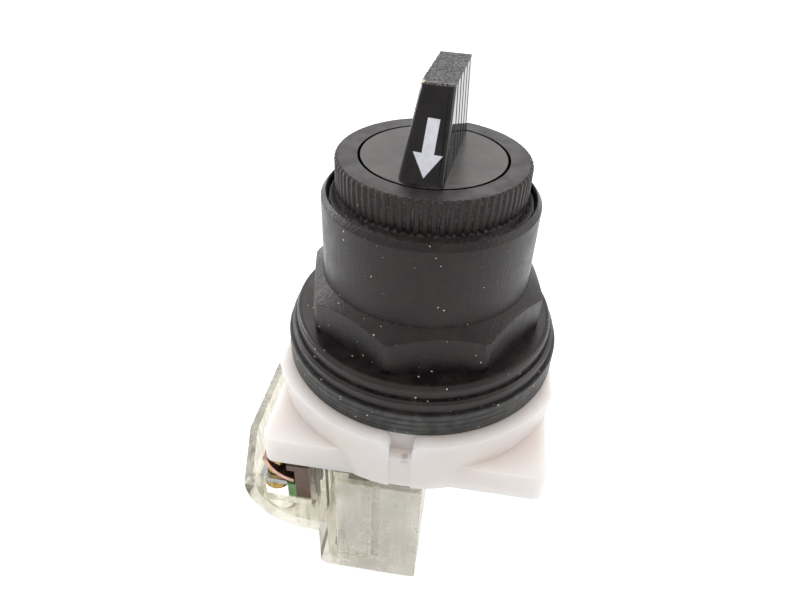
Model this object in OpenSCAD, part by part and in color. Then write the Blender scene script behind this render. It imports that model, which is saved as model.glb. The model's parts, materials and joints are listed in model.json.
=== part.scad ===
// Panel selector switch: a thirty millimetre turn-knob operator with one clear contact block.
// The origin is the middle of the base's seat, where the panel's rear face would lie.
// +Z points out through the panel to the knob, -Y is the side the arrow points to at rest.

/* [Knob] */
// Diameter of the knob's round plate
plate_d = 20.7; // [19:0.1:21]
// Thickness of the knob's round plate above its skirt
plate_t = 2.2; // [1.8:0.1:3]
// Diameter of the knob's skirt, which turns inside the knurled ring
skirt_d = 24; // [23:0.1:24.2]
// Height of the knob's skirt
skirt_h = 8; // [6:0.1:9]
// Wall of the knob's hollow skirt
skirt_wall = 2.2; // [1.8:0.1:3]
// Distance from the knob's axis to the foot of the pointer face
blade_front = 9.5; // [7:0.1:9.6]
// Distance from the knob's axis to the back of the blade
blade_back = 9.9; // [7:0.1:10]
// Height of the blade above the plate
blade_h = 11.2; // [7:0.1:16]
// Thickness of the blade at the plate
blade_w = 6.2; // [5:0.1:7]
// Thickness of the blade at its top
blade_top_w = 4.5; // [3.6:0.1:5]
// How far the pointer face leans back from foot to top
blade_lean = 5.8; // [2:0.1:7]
// How far the blade's top stands over to its right
blade_side = 0.5; // [0:0.1:0.7]
// Number of grip flutes on each side of the blade
flute_count = 5; // [3:1:6]
// Distance between neighbouring grip flutes
flute_pitch = 2.6; // [2:0.05:2.7]
// Radius of a grip flute
flute_r = 0.6; // [0.5:0.1:1.2]
// Depth of a grip flute
flute_depth = 0.15; // [0.1:0.05:0.3]
// Angle at which the knob sits on its key, as the blade stands in its play
blade_turn = -5; // [-6:1:6]

/* [Arrow] */
// Width of the arrow's head
arrow_head_w = 3.9; // [3:0.1:4.4]
// Length of the arrow's head
arrow_head_l = 3.1; // [2:0.1:4]
// Width of the arrow's shaft
arrow_shaft_w = 1.6; // [1:0.1:2.4]
// Length of the arrow from tip to tail
arrow_l = 7.5; // [6:0.1:9]
// How far the arrow stands to the right of the face's middle
arrow_side = 0.3; // [0:0.1:0.4]
// Distance from the blade's foot to the arrow's tip, along the face
arrow_tip = 0.8; // [0.5:0.1:2]
// Depth of the arrow's inlay
arrow_t = 0.5; // [0.3:0.05:0.8]

/* [Knurled ring] */
// Gap between the knob's skirt and the ring's bore
skirt_gap = 0.6; // [0.5:0.05:0.7]
// Wall of the ring's threaded skirt
ring_wall = 0.8; // [0.7:0.05:0.9]
// Wall from the ring's bore to the tips of the knurl
knurl_wall = 1.35; // [1.3:0.05:1.6]
// Width of the rounded edge between the knurl's grooves and the ring's face
ring_edge_w = 0.12; // [0.08:0.02:0.3]
// Gap between the knob's plate and the ring's lip
plate_gap = 0.4; // [0.3:0.05:0.6]
// Height of the top face above the panel seat
face_z = 33.6; // [33:0.1:35]
// Thickness of the ring's lip over the knob's skirt
lip_t = 2; // [1.5:0.1:2]
// Number of knurl teeth
knurl_count = 78; // [48:2:84]
// Depth of the knurl
knurl_depth = 0.45; // [0.3:0.05:0.6]
// Height of the smooth band below the knurl
band_h = 1.2; // [0.8:0.1:1.6]
// How far the flange's edge lies inside the bushing's edge
flange_inset = 0.2; // [0.1:0.05:0.4]
// Thickness of the flange
ring_flange_t = 1; // [0.8:0.1:1.2]
// Length of the ring's threaded skirt
ring_thread_l = 5.6; // [4.5:0.1:5.8]
// Radial gap of the ring's thread in the bushing
ring_thread_gap = 0.1; // [0.05:0.01:0.15]

/* [Ring nut] */
// Radial gap of the nut's thread on the bushing
nut_thread_gap = 0.15; // [0.1:0.05:0.3]
// Wall of the nut's round part
nut_wall = 0.9; // [0.8:0.05:1.3]
// Height of the nut's rim above the panel seat
nut_top = 28.6; // [26:0.1:29]
// Sides of the wrench foot
foot_sides = 8; // [6:2:8]
// How far the corners of the wrench foot stand out from the round part
foot_out = 2.65; // [2.2:0.05:2.9]
// Angle by which the nut is turned on its thread
nut_turn = 35; // [0:0.1:45]
// Height of the cone on the foot's corners above the foot's underside
foot_h = 5.2; // [4:0.1:6]
// Height of the cone from the foot's corners to the round part
foot_cone_h = 2.2; // [1.5:0.1:6]
// Width of the chamfer round the nut's rim
nut_chamfer = 1; // [0.5:0.1:1.2]

/* [Panel stack] */
// How far the gaskets reach past the base's sides
gasket_over = 0.2; // [0.1:0.05:0.6]
// Thickness of one panel gasket
gasket_t = 1; // [0.8:0.05:1.2]
// Number of gaskets in the stack
gasket_count = 4; // [2:1:5]
// Gap between the bushing and the bores of the gaskets and the washer
stack_gap = 0.4; // [0.2:0.05:0.7]
// Chamfer on the gaskets' edges
gasket_chamfer = 0.15; // [0.05:0.05:0.3]
// How far the washer's edge lies inside the base's sides
washer_inset = 0.4; // [0.2:0.05:0.7]
// Height of the washer's lower step
washer_step_h = 2; // [1.5:0.1:2.5]
// Width of the ledge between the washer's two steps
washer_ledge = 0.8; // [0.6:0.1:1.5]
// Height of the washer's upper step
washer_top_h = 2.1; // [1.5:0.1:2.6]
// Radius of the washer's rounded top edge
washer_round = 0.8; // [0.4:0.1:1]

/* [Base] */
// Side of the square base
base_w = 43.8; // [42.8:0.1:44.6]
// Depth of the square base
base_h = 5.2; // [4:0.1:6]
// How far the round collar reaches past the base's front and back, at the panel seat
collar_over = 2.4; // [1.5:0.05:3]
// How much the collar's radius shrinks down to the base's rear side
collar_draft = 1.1; // [0.5:0.1:1.3]
// Height of the collar
collar_h = 5.8; // [5:0.1:7]
// Wall of the bushing round the knurled ring's thread, which gives a thread of 30 mm
bush_wall = 1.5; // [1.4:0.05:1.5]
// Height of the bushing above the panel seat
bush_h = 26.6; // [26.4:0.1:26.8]
// Thickness of the base's floor
floor_t = 6; // [5.4:0.1:7]
// Radius of the base's corners
base_corner_r = 1.6; // [1:0.1:3]
// Depth of the locating notch, inwards from the collar's front
notch_in = 2.7; // [1.5:0.05:3]
// Width of the locating notch in the collar's front
notch_w = 3.4; // [3:0.1:5]
// Depth of the locating notch below the panel seat
notch_depth = 3.8; // [3:0.1:5]
// Radius of the notch's flared mouth under the gaskets
notch_flare = 1.8; // [0.5:0.1:2.2]
// Depth of the shallow keyway down the collar's front
keyway_t = 0.3; // [0.2:0.05:0.6]
// Diameter of the small hole in the notch's floor
peg_hole_d = 0.9; // [0.7:0.1:1]
// How far the small hole stands to the right of the notch's middle
peg_hole_x = 0.6; // [0:0.1:0.8]
// How far the small hole stands out from the notch's back
peg_hole_out = 1.1; // [1:0.1:1.2]

/* [Rotor] */
// Diameter of the rotor's bearing disc
rotor_d = 25; // [24.6:0.1:25.2]
// Height of the rotor's bearing disc
rotor_h = 4.5; // [4:0.1:4.6]
// Height of the disc's underside above the panel seat
rotor_z = 16; // [15.6:0.1:16.2]
// Distance of a plunger from the knob's axis
plunger_x = 9.5; // [9.3:0.1:9.7]
// Radial width of a cam ramp
ramp_w = 3.6; // [3:0.1:4]
// Plunger travel for a turn of the knob to either side
plunger_travel = 1.4; // [1:0.05:1.5]
// Turn of the knob to either side
knob_turn = 45; // [30:5:45]
// Distance across the corners of the detent collar
detent_d = 12; // [11:0.1:12.4]
// Side of the square key between knob and rotor
key_w = 7.6; // [7:0.1:8]
// Length of the square key
key_l = 4.4; // [3:0.1:4.5]
// Width of the stop rib in the bushing
stop_w = 3; // [2:0.1:4]
// Depth of the disc's cut-out that the stop rib runs in
stop_depth = 1.7; // [1.4:0.1:1.9]
// Distance from the disc's underside down to the middle of the cam ramps
ramp_drop = 6; // [5.8:0.1:6.2]
// Height of the detent spring above the base's floor
detent_rise = 10; // [9.6:0.1:10.4]
// How far the detent collar reaches below its spring
detent_below = 1.5; // [1.2:0.1:1.8]
// Wall round the knob's square key
hub_wall = 1.7; // [1.4:0.1:2]
// Wire of the knob's seal
seal_wire_d = 1.6; // [1.4:0.1:1.7]
// Height of the seal's middle above the skirt's lower edge
seal_rise = 2.6; // [2:0.1:3]
// Diameter of the knob's screw
knob_screw_d = 3; // [2.6:0.1:3.2]
// Diameter of the knob screw's head
knob_screw_head_d = 5.6; // [5:0.1:6]
// Height of the knob screw's head
knob_screw_head_t = 2; // [1.6:0.1:2.2]
// Thickness of the rotor's web that the knob's screw clamps
knob_screw_grip = 4; // [3.6:0.1:4.2]
// Length of the knob's screw in the knob
knob_screw_bite = 7; // [6:0.1:7.4]

/* [Plungers] */
// Diameter of a plunger
plunger_d = 4; // [3.6:0.1:4.2]
// How far a plunger stands out of the base's rear face
plunger_out = 2; // [1.8:0.1:2.4]
// Diameter of a plunger's spring collar
plunger_collar_d = 6.4; // [6:0.1:6.6]
// Thickness of a plunger's spring collar
plunger_collar_t = 1.2; // [1:0.1:1.5]
// Height of a plunger spring
plunger_spring_h = 5.3; // [4.5:0.1:5.4]
// Wire of the plunger springs
plunger_wire_d = 0.5; // [0.4:0.05:0.6]
// Wire of the detent spring
detent_wire_d = 1; // [0.8:0.05:1.1]

/* [Contact block] */
// Width of the block's tower
tower_w = 17.4; // [16.8:0.1:18]
// Distance from the knob's axis to the tower's right side
tower_right = 3.5; // [3:0.1:4.5]
// How far the block's ends lie inside the base's front and back
block_inset = 0.4; // [0.2:0.05:0.8]
// Height of the block's tower
tower_h = 28.6; // [28:0.1:30]
// Width of the terminal shoulder beside the tower
shoulder_w = 12.4; // [12:0.1:13]
// Height of the terminal shoulder
shoulder_h = 18.2; // [17.8:0.1:19]
// Radius of the shoulder's outer lower edge
shoulder_r = 10.5; // [8:0.1:10.8]
// Wall of the clear housing
cover_wall = 1.3; // [1:0.05:1.4]
// Height of the slant on the shoulder's ends
slant_h = 7.7; // [5:0.1:8.2]
// Radius of the tower's lower corners
tower_round = 0.8; // [0.3:0.1:1.2]
// Length of the slant on the shoulder's ends
slant_l = 5.7; // [4:0.1:6]
// Width of the terminal window
window_w = 8.2; // [6:0.1:8.4]
// Height of the terminal window
window_h = 11; // [8:0.1:11.2]
// Width of the recessed panel on the tower's ends
panel_w = 5.6; // [4:0.1:6]
// Depth of the recessed panel on the tower's ends
panel_recess = 0.5; // [0.2:0.05:0.7]

/* [Contacts] */
// Thickness of the block's dark inner plate
frame_t = 2.3; // [2:0.1:2.6]
// Distance from a terminal screw in to the frame's curtain
curtain_in = 3.9; // [3.8:0.05:4]
// Thickness of the frame's curtain
curtain_t = 1; // [0.8:0.1:1.2]
// Distance from the tower's left side to the frame's cheek
cheek_side = 4; // [3.9:0.05:4.1]
// Thickness of the frame's cheek
cheek_t = 2.8; // [2.4:0.1:2.9]
// Height of the frame's cheek below the contact strip
cheek_h = 9.9; // [9:0.1:10.5]
// Thickness of the insulating block beside the cheek
insulator_t = 1.4; // [1:0.05:1.5]
// Drop from the contact strip to the top of the insulating block
insulator_drop = 5.1; // [4.9:0.1:5.6]
// Side of the square contact carrier
carrier_w = 5.6; // [5:0.1:5.8]
// Thickness of the contact strips
strip_t = 0.8; // [0.6:0.05:1]
// Width of the contact strips
strip_w = 4; // [3:0.1:4.4]
// Distance from the carrier to the middle of a contact tip
tip_y = 8.5; // [7.5:0.1:9]
// Diameter of a contact tip
tip_d = 3; // [2:0.1:3.4]
// Height of a contact tip
tip_t = 0.6; // [0.4:0.05:0.8]
// Height of a window in the carrier, with its bridge and spring
carrier_window_h = 6.5; // [6:0.1:6.8]
// Height of the web between the carrier's two windows
window_web = 2; // [1.6:0.1:2.2]
// Height of the carrier below its lower window
carrier_foot_h = 2.4; // [2:0.1:2.5]
// Diameter of the boss that guides the carrier's return spring
boss_d = 3.2; // [2.8:0.1:3.4]
// Distance from the housing's end wall in to a terminal screw
terminal_in = 3; // [2.9:0.05:3.1]
// Distance from the housing's left side to an upper terminal screw
terminal_side = 4.4; // [4.3:0.05:4.5]
// Diameter of a terminal screw
terminal_screw_d = 3; // [2.6:0.1:3.1]
// Diameter of a terminal screw's head
terminal_head_d = 4.6; // [4.2:0.1:4.7]
// Side of a terminal clamp
clamp_w = 4.8; // [4.6:0.1:4.9]
// Thickness of a terminal clamp
clamp_t = 1; // [0.8:0.05:1.1]
// Height of a terminal screw's head
terminal_head_t = 1.8; // [1.5:0.1:2]
// Drop from an upper strip to its clamp
upper_clamp_drop = 4.8; // [4.6:0.1:5]
// Drop from a lower strip to its clamp
lower_clamp_drop = 0.6; // [0.4:0.1:0.8]
// Radius of the curved leaf at an upper terminal
leaf_r = 6.3; // [6:0.1:6.4]
// Distance from the terminal screw to the middle of the leaf's curve
leaf_side = 4.9; // [4.7:0.1:5]
// Height of the middle of the leaf's curve above the strip
leaf_rise = 1.6; // [1.5:0.05:1.7]
// Width of the strip that leads to the leaf
run_w = 1.8; // [1.5:0.1:2]
// Length of a strip's pad from the middle of its tip
pad_l = 2; // [1.8:0.1:2.2]
// Diameter of a mounting screw
mount_screw_d = 3; // [2.8:0.1:3.2]
// Diameter of a mounting screw's head
mount_head_d = 5.4; // [5:0.1:5.6]
// Gap round a mounting screw's shank in the housing and the frame
mount_gap = 0.2; // [0.15:0.05:0.25]
// Wall of the tube round a mounting screw's head
tube_wall = 1.2; // [1:0.05:1.3]
// Gap round a mounting screw's head in its tube
tube_gap = 0.3; // [0.2:0.05:0.4]
// Length of the tube round a mounting screw
tube_h = 9.4; // [9:0.1:9.8]
// Depth of the tube's wide bore for the screw's head
tube_head_h = 6; // [5.9:0.05:6.2]
// Length of the narrow bore through the tube and what holds it
tube_bore_h = 12; // [11.5:0.1:12]
// Distance along the block from a terminal screw to the mounting screw beside it
mount_step = 6.7; // [6.6:0.05:7]
// Distance from the knob's axis to the row of mounting screws
mount_x = 2.6; // [2.6:0.1:2.8]
// Length of a threaded insert
insert_l = 5; // [4:0.1:5.2]
// Outside diameter of a threaded insert
insert_d = 4.8; // [4.4:0.1:5]

/* [Clearances] */
// Radial clearance of the turning and sliding fits
run_gap = 0.05; // [0.03:0.01:0.08]
// Gap between neighbouring moving pieces that don't bear on each other
free_gap = 0.4; // [0.3:0.05:0.5]
// Gap left where one piece stops against another
touch_gap = 0.1; // [0.05:0.01:0.15]

/* [Hidden] */
$fn = 96;
eps = 0.01;

// Heights of the base and the operator
rear_z = -collar_h - base_h;
floor_z = rear_z + floor_t;
half_base = base_w / 2;
collar_d = base_w + 2 * collar_over;
notch_back = -collar_d / 2 + notch_in;
washer_d = base_w - 2 * washer_inset;
gasket_d = base_w + 2 * gasket_over;
washer_top_d = washer_d - 2 * washer_ledge;

// Diameters of what lies round the knob's skirt, from the inside out
ring_bore_d = skirt_d + 2 * skirt_gap;
ring_thread_d = ring_bore_d + 2 * ring_wall;
ring_d = ring_bore_d + 2 * knurl_wall;
ring_edge_r = knurl_depth + ring_edge_w + 0.1;
ring_face_d = ring_d - 2 * (knurl_depth + ring_edge_w);
ring_hole_d = plate_d + 2 * plate_gap;
bush_ring_bore_d = ring_thread_d + 2 * ring_thread_gap;
bush_d = bush_ring_bore_d + 2 * bush_wall;
ring_flange_d = bush_d - 2 * flange_inset;
nut_bore_d = bush_d + 2 * nut_thread_gap;
nut_d = nut_bore_d + 2 * nut_wall;
foot_corner_d = nut_d + 2 * foot_out;
stack_bore_d = bush_d + 2 * stack_gap;

// Heights of the stack, the knob and the ring
washer_z = gasket_t * gasket_count;
nut_z = washer_z + washer_step_h + washer_top_h;
skirt_top = face_z - plate_t;
skirt_z = skirt_top - skirt_h;
rotor_top = rotor_z + rotor_h;
lip_z = face_z - lip_t;
hub_d = key_w + 2 * hub_wall;
key_gap = 0.05;
key_bottom = rotor_top - key_l;
seal_z = skirt_z + seal_rise;

// The rotor's cam, whose height follows the angle, and its detent
ramp_mid_z = rotor_z - ramp_drop;
ramp_rise = plunger_travel / knob_turn;
ramp_half = knob_turn + 4;
ramp_in = plunger_x - ramp_w / 2;
ramp_out = plunger_x + ramp_w / 2;
ramp_sink = 0.3;
ramp_lean = atan(ramp_rise * 180 / (PI * plunger_x));
well_d = 2 * (ramp_out + free_gap);
detent_z = floor_z + detent_rise;
detent_bottom = detent_z - detent_below;
stop_in = rotor_d / 2 - stop_depth;
stop_half = asin(stop_w / 2 / stop_in) + 0.7;

// The plungers, from the ramp down through the floor
tip_gap = touch_gap;
plunger_tip_z = ramp_mid_z - plunger_d / 2 / cos(ramp_lean) - tip_gap;
plunger_end_z = rear_z - plunger_out;
plunger_collar_z = floor_z + plunger_spring_h;
pocket_gap = 0.3;
pocket_h = plunger_spring_h + plunger_collar_t + plunger_travel + free_gap;

// The contact block
block_l = base_w - 2 * block_inset;
block_right = tower_right;
block_left = tower_right - tower_w - shoulder_w;
tower_left = tower_right - tower_w;
half_block = block_l / 2;
tower_bottom = rear_z - tower_h;
shoulder_bottom = rear_z - shoulder_h;
rim_z = rear_z - 0.02;
inner_front = half_block - cover_wall;
terminal_y = inner_front - terminal_in;
mount_pitch = 2 * (terminal_y - mount_step);
curtain_y = terminal_y - curtain_in;
side_box_w = tower_left - window_w - 0.9 - block_left;
frame_z = rim_z - frame_t;
carrier_x = -plunger_x;
carrier_top = plunger_end_z - touch_gap;
strip_z = frame_z - strip_t;
fixed_tip_z = strip_z - tip_t;
upper_bridge_z = fixed_tip_z - touch_gap - plunger_travel - tip_t - strip_t;
upper_window_z = upper_bridge_z + strip_t - carrier_window_h;
lower_bridge_z = upper_window_z - window_web - carrier_window_h;
lower_tip_z = lower_bridge_z - tip_t;
lower_fixed_tip_z = lower_tip_z - plunger_travel - touch_gap - tip_t;
lower_strip_z = lower_fixed_tip_z - strip_t;
carrier_bottom = lower_bridge_z - carrier_foot_h;
terminal_x = block_left + terminal_side;
lower_terminal_x = tower_right - cover_wall - terminal_head_d / 2 - free_gap;
cheek_x = tower_left - cheek_side;
cheek_bottom = strip_z - cheek_h;
cheek_front = inner_front - 0.3;
leaf_x = terminal_x + leaf_side;
leaf_z = strip_z + leaf_rise;
leaf_end = 258;

function arc(cx, cy, r, from, to, steps) =
  [for (i = [0:steps]) let (a = from + (to - from) * i / steps) [cx + r * cos(a), cy + r * sin(a)]];

function ramp_height(side, a) = ramp_mid_z + side * ramp_rise * a;

// A flat ring
module ring(r_out, r_in, h) {
  difference() {
    cylinder(r = r_out, h = h);
    translate([0, 0, -eps]) cylinder(r = r_in, h = h + 2 * eps);
  }
}

// A box given by its lowest and highest corners
module span(low, high) {
  translate(low) cube(high - low);
}

// A square slab with round corners
module round_slab(w, h, r) {
  span([-w / 2 + r, -w / 2, 0], [w / 2 - r, w / 2, h]);
  span([-w / 2, -w / 2 + r, 0], [w / 2, w / 2 - r, h]);
  for (x = [-1, 1], y = [-1, 1]) translate([x * (w / 2 - r), y * (w / 2 - r), 0]) cylinder(r = r, h = h);
}

// A slice of pie, for cutting arcs out of rings
module pie(r, from, to, h) {
  linear_extrude(height = h) polygon(concat([[0, 0]], arc(0, 0, r, from, to, 16)));
}

// The turns of a coil spring as a stack of round rings
module coil(r, wire_d, h, turns) {
  rise = (h - wire_d) / turns;
  for (i = [0:turns]) translate([0, 0, wire_d / 2 + i * rise]) rotate_extrude() translate([r, 0])
    circle(d = wire_d, $fn = 16);
  for (i = [0:turns - 1]) rotate([0, 0, 180 * i]) translate([r, 0, wire_d / 2 + i * rise])
    cylinder(d = wire_d * 0.8, h = rise, $fn = 16);
}

// The blade's outline from the side, with the pointer face on the left
module blade_side() {
  polygon([[-blade_front, 0], [blade_back, 0], [blade_back, blade_h], [-blade_front + blade_lean, blade_h]]);
}

// The blade's outline from the front, narrower at the top
module blade_front_view() {
  polygon([
    [-blade_w / 2, 0], [blade_w / 2, 0],
    [blade_top_w / 2 + blade_side, blade_h], [-blade_top_w / 2 + blade_side, blade_h]
  ]);
}

// One grip flute, leaning with the blade's side
module grip_flute(side, y) {
  lean = atan(((blade_w - blade_top_w) / 2 - side * blade_side) / blade_h);
  translate([side * (blade_w / 2 + flute_r - flute_depth), y, 0]) rotate([0, -side * lean, 0])
    cylinder(r = flute_r, h = blade_h * 1.2, $fn = 48);
}

module blade() {
  intersection() {
    difference() {
      rotate([90, 0, 0]) translate([0, 0, -plate_d / 2]) linear_extrude(height = plate_d) blade_front_view();
      for (side = [-1, 1], i = [0:flute_count - 1]) grip_flute(side, blade_back - flute_pitch * (i + 0.6));
    }
    translate([-blade_w, 0, 0]) rotate([90, 0, 90]) linear_extrude(height = 2 * blade_w) blade_side();
    cylinder(d = plate_d - 0.1, h = blade_h);
  }
}

// The arrow, lying in the pointer face
module arrow_plate(t) {
  face_lean = atan(blade_lean / blade_h);
  side_lean = atan(blade_side * cos(face_lean) / blade_h);
  neck = arrow_tip + arrow_head_l;
  translate([arrow_side, -blade_front, 0]) rotate([90 - face_lean, 0, 0]) rotate([0, 0, -side_lean])
    translate([0, 0, -t]) linear_extrude(height = t + 0.05) polygon([
      [0, arrow_tip], [arrow_head_w / 2, neck], [arrow_shaft_w / 2, neck],
      [arrow_shaft_w / 2, arrow_tip + arrow_l], [-arrow_shaft_w / 2, arrow_tip + arrow_l],
      [-arrow_shaft_w / 2, neck], [-arrow_head_w / 2, neck]
    ]);
}

module selector_knob() color("#26262a") {
  difference() {
    union() {
      translate([0, 0, skirt_z]) cylinder(d = skirt_d, h = skirt_h);
      translate([0, 0, skirt_top - eps]) cylinder(d = plate_d, h = plate_t + eps);
      rotate([0, 0, blade_turn]) translate([0, 0, face_z - eps]) blade();
    }
    translate([0, 0, skirt_z - eps]) ring(skirt_d / 2 - skirt_wall, hub_d / 2, skirt_h - 1);
    translate([0, 0, seal_z - seal_wire_d / 2]) ring(skirt_d, skirt_d / 2 - seal_wire_d * 0.8, seal_wire_d);
    rotate([0, 0, blade_turn]) translate([0, 0, face_z]) arrow_plate(arrow_t);
    translate([0, 0, key_bottom]) cylinder(d = knob_screw_d, h = knob_screw_bite + 1.4);
  }
  difference() {
    span([-key_w / 2, -key_w / 2, key_bottom + key_gap], [key_w / 2, key_w / 2, skirt_z + 1]);
    translate([0, 0, key_bottom]) cylinder(d = knob_screw_d, h = knob_screw_bite + 1.4);
  }
}

module pointer_arrow() color("#d9d9e2") {
  rotate([0, 0, blade_turn]) translate([0, 0, face_z]) arrow_plate(arrow_t);
}

module knob_seal() color("#1c1c1c") {
  translate([0, 0, seal_z]) rotate_extrude() translate([ring_bore_d / 2 - run_gap - seal_wire_d / 2, 0])
    circle(d = seal_wire_d, $fn = 32);
}

module knob_screw() color("#b9bcc0") {
  head_z = key_bottom - knob_screw_grip - knob_screw_head_t;
  difference() {
    union() {
      translate([0, 0, head_z]) cylinder(d = knob_screw_head_d, h = knob_screw_head_t);
      translate([0, 0, head_z])
        cylinder(d = knob_screw_d, h = knob_screw_head_t + knob_screw_grip + knob_screw_bite);
    }
    span([-0.5, -2.2, head_z - eps], [0.5, 2.2, head_z + 1]);
    span([-2.2, -0.5, head_z - eps], [2.2, 0.5, head_z + 1]);
  }
}

// The cam ramp whose underside rises or falls with the angle round the axis
module ramp(side) {
  steps = 26;
  top = rotor_z + ramp_sink;
  rows = [for (i = [0:steps]) let (a = -ramp_half + 2 * ramp_half * i / steps) [a, ramp_height(side, a)]];
  points = [
    for (row = rows) each [
      [ramp_in * cos(row[0]), ramp_in * sin(row[0]), row[1]],
      [ramp_out * cos(row[0]), ramp_out * sin(row[0]), row[1]],
      [ramp_out * cos(row[0]), ramp_out * sin(row[0]), top],
      [ramp_in * cos(row[0]), ramp_in * sin(row[0]), top]
    ]
  ];
  last = 4 * steps;
  walls = [
    for (i = [0:steps - 1], j = [0:3]) let (k = (j + 1) % 4, m = 4 * i) each
      [[m + k, m + 4 + j, m + j], [m + k, m + 4 + k, m + 4 + j]]
  ];
  ends = [[3, 2, 1, 0], [last, last + 1, last + 2, last + 3]];
  polyhedron(points = points, faces = concat(walls, ends), convexity = 4);
}

module cam_rotor() color("#8a5a3a") {
  difference() {
    union() {
      translate([0, 0, rotor_z]) cylinder(d = rotor_d, h = rotor_h);
      translate([0, 0, detent_bottom]) rotate([0, 0, 22.5])
        cylinder(d = detent_d, h = rotor_z - detent_bottom + eps, $fn = 8);
    }
    translate([0, 0, rotor_z - eps]) difference() {
      pie(rotor_d, 90 - knob_turn - stop_half, 90 + knob_turn + stop_half, rotor_h + 2 * eps);
      translate([0, 0, -eps]) cylinder(r = stop_in - free_gap, h = rotor_h + 4 * eps);
    }
    span([-key_w / 2 - key_gap, -key_w / 2 - key_gap, key_bottom],
      [key_w / 2 + key_gap, key_w / 2 + key_gap, rotor_top + eps]);
    translate([0, 0, key_bottom - knob_screw_grip - eps])
      cylinder(d = knob_screw_d + 0.2, h = knob_screw_grip + 2 * eps);
    translate([0, 0, detent_bottom - eps])
      cylinder(d = knob_screw_head_d + 0.4, h = key_bottom - knob_screw_grip - detent_bottom + eps);
  }
  ramp(1);
  rotate([0, 0, 180]) ramp(-1);
}

// The hairpin spring, whose two legs bear on the rotor's eight-sided collar
module detent_spring() color("#a9adb2") {
  leg_x = detent_d / 2 + run_gap + detent_wire_d / 2;
  bend_y = well_d / 2 - free_gap - leg_x - detent_wire_d / 2;
  leg_end = 8.6;
  translate([0, bend_y, detent_z]) rotate_extrude(angle = 180) translate([leg_x, 0])
    circle(d = detent_wire_d, $fn = 24);
  for (side = [-1, 1]) translate([side * leg_x, bend_y + eps, detent_z]) rotate([90, 0, 0])
    cylinder(d = detent_wire_d, h = bend_y + leg_end, $fn = 24);
}

// One pillar under the detent spring's wire
module spring_pillar(x, y) {
  translate([x, y, floor_z - eps])
    cylinder(d = 1.8, h = detent_z - detent_wire_d / 2 - floor_z + eps, $fn = 32);
}

// One flared side of the notch's mouth
module notch_mouth(side) {
  x = notch_w / 2 + notch_flare;
  rotate([90, 0, 0]) translate([0, 0, -notch_back]) linear_extrude(height = notch_in + eps)
    polygon(concat(
      [[side * (notch_w / 2 - 0.1), eps], [side * (notch_w / 2 - 0.1), -notch_flare]],
      [for (p = arc(x, -notch_flare, notch_flare, 180, 90, 8)) [side * p[0], p[1]]],
      [[side * x, eps]]
    ));
}

// The collar's tapered round side, drawn smaller by an inset and 1 mm too long at each end
module collar_cone(inset) {
  slope = collar_draft / (collar_h + base_h);
  r = collar_d / 2 - inset;
  translate([0, 0, rear_z - 1]) cylinder(r1 = r - collar_draft - slope, r2 = r + slope, h = 2 - rear_z);
}

// The keyway's cut, which follows the collar's round front
module keyway() {
  difference() {
    span([-notch_w / 2, -collar_d / 2 - eps, rear_z - eps], [notch_w / 2, notch_back, -notch_depth + eps]);
    collar_cone(keyway_t);
  }
}

module operator_base() color("#e6e1de") {
  leg_x = detent_d / 2 + run_gap + detent_wire_d / 2;
  bend_top = well_d / 2 - free_gap - detent_wire_d / 2;
  difference() {
    union() {
      cylinder(d = bush_d, h = bush_h);
      intersection() {
        collar_cone(0);
        span([-half_base, -collar_d, rear_z], [half_base, collar_d, 0]);
      }
      translate([0, 0, rear_z]) round_slab(base_w, base_h, base_corner_r);
    }
    translate([0, 0, floor_z]) cylinder(d = well_d, h = rotor_z - floor_z - touch_gap + eps);
    translate([0, 0, rotor_z - touch_gap]) cylinder(d = rotor_d + 2 * run_gap, h = bush_h);
    translate([0, 0, bush_h - ring_thread_l - 0.2]) cylinder(d = bush_ring_bore_d, h = bush_h);
    for (side = [-1, 1]) translate([side * plunger_x, 0, 0]) {
      translate([0, 0, rear_z - eps]) cylinder(d = plunger_d + 2 * run_gap, h = floor_t + 2 * eps);
      translate([0, 0, floor_z]) cylinder(d = plunger_collar_d + 2 * pocket_gap, h = pocket_h);
    }
    for (x = [-1, 1], y = [-1, 1]) translate([x * mount_x, y * mount_pitch / 2, rear_z - eps])
      cylinder(d = insert_d, h = insert_l + eps);
    span([-notch_w / 2, -collar_d / 2 - eps, -notch_depth], [notch_w / 2, notch_back, eps]);
    for (side = [-1, 1]) notch_mouth(side);
    keyway();
    translate([peg_hole_x, notch_back - peg_hole_out, -notch_depth - 1]) cylinder(d = peg_hole_d, h = 2, $fn = 24);
  }
  for (side = [-1, 1]) spring_pillar(side * leg_x, -7.2);
  spring_pillar(0, bend_top - 0.4);
  intersection() {
    span([-stop_w / 2, stop_in, rotor_z + ramp_sink + 0.3], [stop_w / 2, rotor_d / 2 + 0.6, rotor_top]);
    cylinder(d = bush_d - 1, h = bush_h);
  }
}

module threaded_inserts() color("#c9a24e") {
  for (x = [-1, 1], y = [-1, 1]) translate([x * mount_x, y * mount_pitch / 2, rear_z])
    ring(insert_d / 2, mount_screw_d / 2 + 0.05, insert_l);
}

module panel_gaskets() color("#232325") {
  c = gasket_chamfer;
  t = gasket_t - 0.02;
  for (i = [0:gasket_count - 1]) translate([0, 0, i * gasket_t]) rotate_extrude(convexity = 4) polygon([
    [stack_bore_d / 2, 0], [gasket_d / 2 - c, 0], [gasket_d / 2, c],
    [gasket_d / 2, t - c], [gasket_d / 2 - c, t], [stack_bore_d / 2, t]
  ]);
}

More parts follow.
